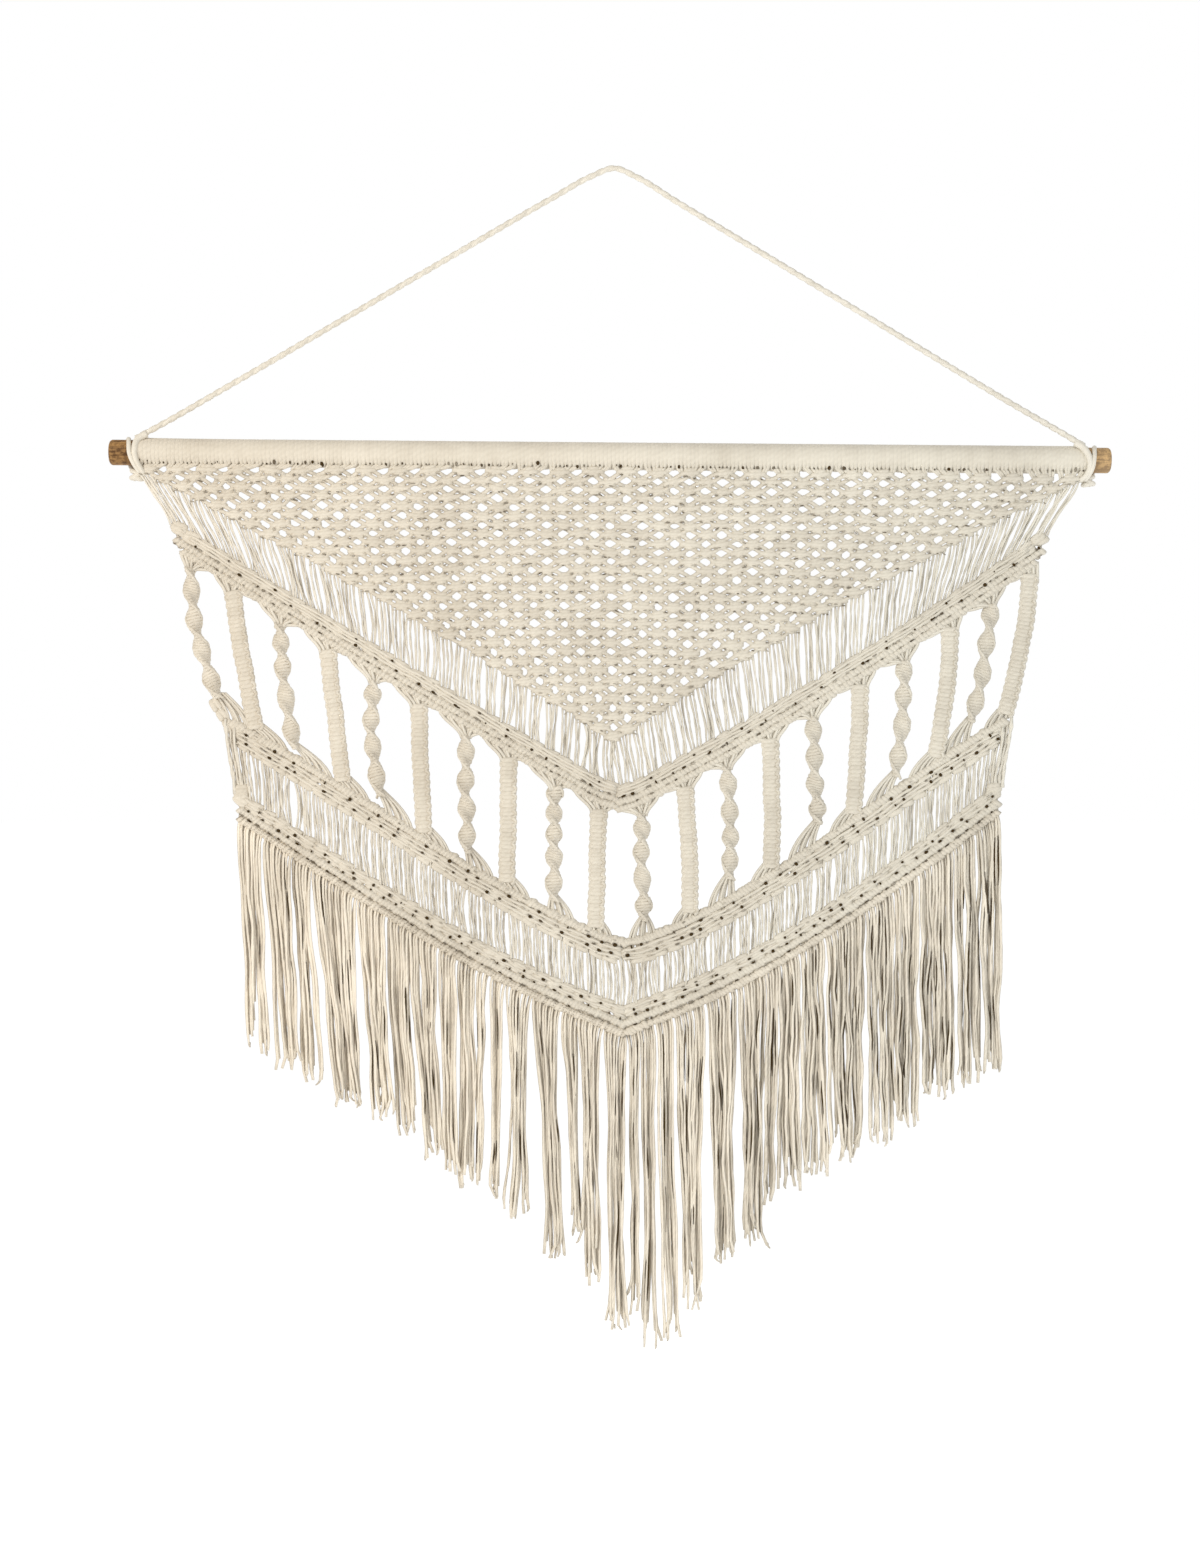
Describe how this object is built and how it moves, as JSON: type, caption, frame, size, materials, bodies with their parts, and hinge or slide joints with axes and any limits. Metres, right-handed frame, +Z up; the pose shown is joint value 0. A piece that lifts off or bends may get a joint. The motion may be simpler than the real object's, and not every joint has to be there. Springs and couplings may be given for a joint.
{
  "type": "macrame wall hanging on a wooden dowel",
  "caption": "Macrame wall hanging: a knotted cotton net, slanting bands, open rows of braids and a long pointed fringe on a wooden dowel, with a twisted hanging cord.",
  "frame": {"origin": "the point on the wall hook where the underside of the hanging cord's peak rests", "axes": "+X along the dowel to the viewer's right, +Y from the viewer to the wall, +Z up"},
  "size_m": [1, 0.038, 1.1849],
  "materials": {
    "wood": "smooth, oiled",
    "cotton": "matt, soft spun string",
    "cord": "matt, two twisted strings"
  },
  "bodies": {
    "root": {"dowel": "wood", "macrame_panel": "cotton", "fringe": "cotton", "hanger_cord": "cord", "hitch_left": "cord", "hitch_right": "cord"}
  },
  "joints": []
}
